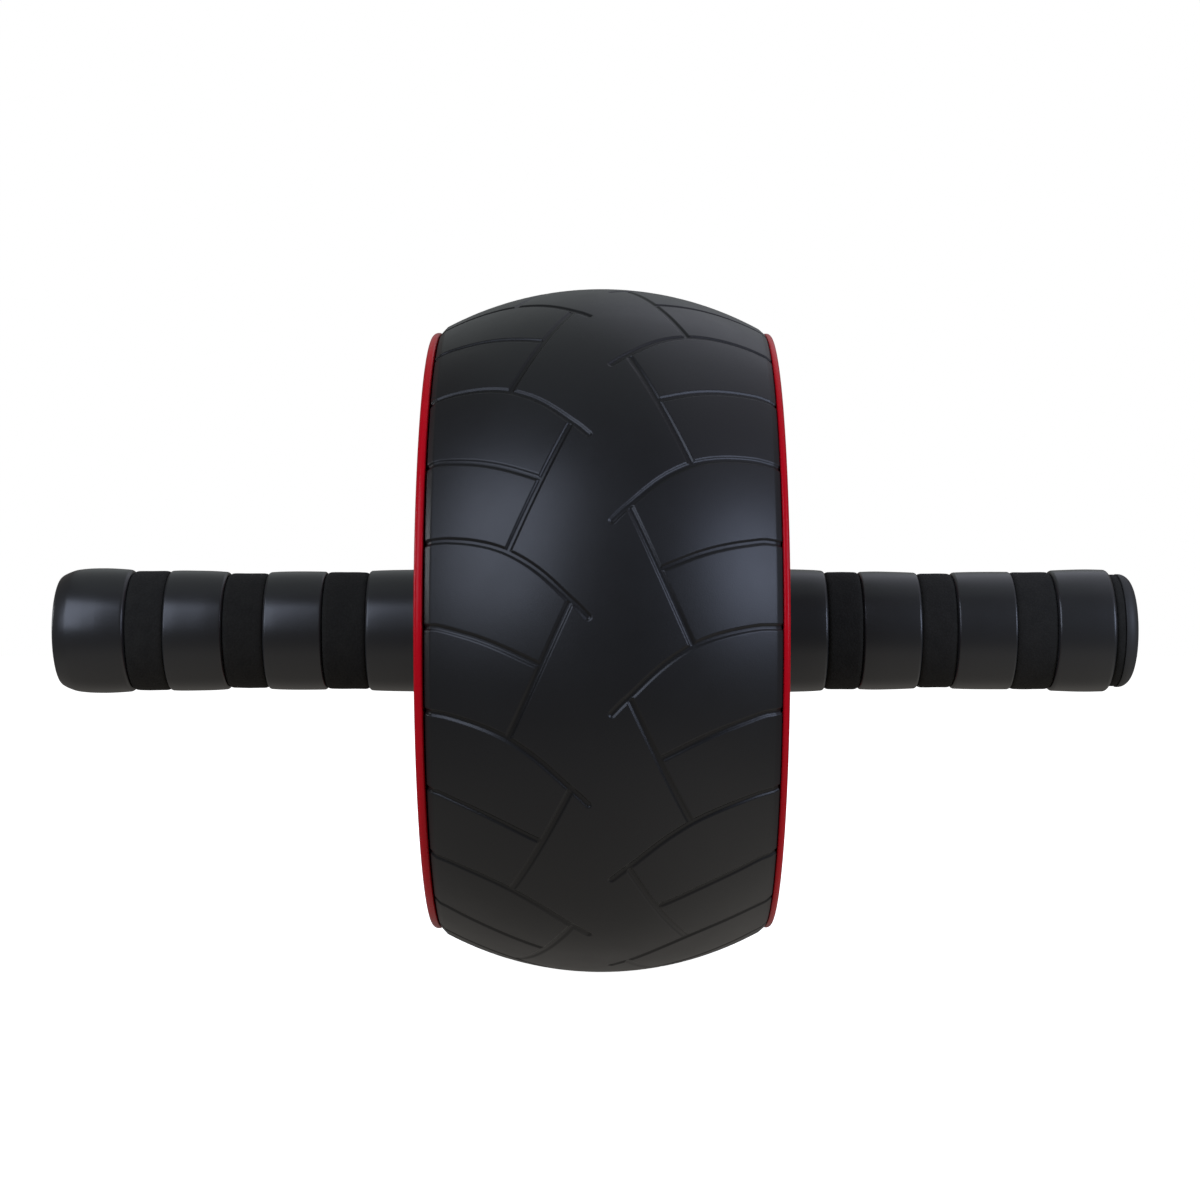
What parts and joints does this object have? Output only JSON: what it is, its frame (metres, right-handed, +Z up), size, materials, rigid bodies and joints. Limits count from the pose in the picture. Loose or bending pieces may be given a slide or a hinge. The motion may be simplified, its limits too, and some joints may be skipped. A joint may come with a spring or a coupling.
{
  "type": "ab wheel roller",
  "caption": "Wide crowned exercise wheel with a grooved rubber tyre and red rims, spinning freely on a steel axle tube between two banded grip handles.",
  "frame": {"origin": "the wheel's centre, on the axle", "axes": "+Y along the axle towards the right handle, +Z up, so the wheel stands on the floor at Z = -97.5 mm and rolls along X; +X faces the viewer of the picture"},
  "size_m": [0.195, 0.3072, 0.195],
  "materials": {
    "tyre_rubber": "satin moulded rubber",
    "rim_red": "glossy red moulded plastic",
    "drum_plastic": "black moulded plastic",
    "cover_plastic": "satin black moulded plastic",
    "bearing_nylon": "natural nylon",
    "collar_steel": "zinc plated steel",
    "screw_steel": "zinc plated steel",
    "tube_steel": "drawn steel tube",
    "grip_foam": "matte closed-cell foam",
    "grip_rubber": "satin moulded rubber",
    "cap_plastic": "black moulded plastic"
  },
  "bodies": {
    "handle_bar": {"axle_tube": "tube_steel", "left_shaft_collar": "collar_steel", "left_grub_screw": "screw_steel", "left_thrust_washer": "bearing_nylon", "left_grip_sleeve": "grip_foam", "left_end_cap": "cap_plastic", "left_grip_ring_1": "grip_rubber", "left_grip_ring_2": "grip_rubber", "left_grip_ring_3": "grip_rubber", "left_grip_ring_4": "grip_rubber", "right_shaft_collar": "collar_steel", "right_grub_screw": "screw_steel", "right_thrust_washer": "bearing_nylon", "right_grip_sleeve": "grip_foam", "right_end_cap": "cap_plastic", "right_grip_ring_1": "grip_rubber", "right_grip_ring_2": "grip_rubber", "right_grip_ring_3": "grip_rubber", "right_grip_ring_4": "grip_rubber"},
    "wheel": {"tyre": "tyre_rubber", "left_drum_half": "drum_plastic", "right_drum_half": "drum_plastic", "left_rim_ring": "rim_red", "right_rim_ring": "rim_red", "left_side_cover": "cover_plastic", "right_side_cover": "cover_plastic", "left_hub_bush": "bearing_nylon", "right_hub_bush": "bearing_nylon", "drum_screws": "screw_steel", "left_cover_screws": "screw_steel", "right_cover_screws": "screw_steel"}
  },
  "joints": [
    {"name": "wheel_spin", "type": "hinge", "parent": "handle_bar", "child": "wheel", "pos_m": [0, 0, 0], "axis": [0, 1, 0], "continuous": true}
  ]
}
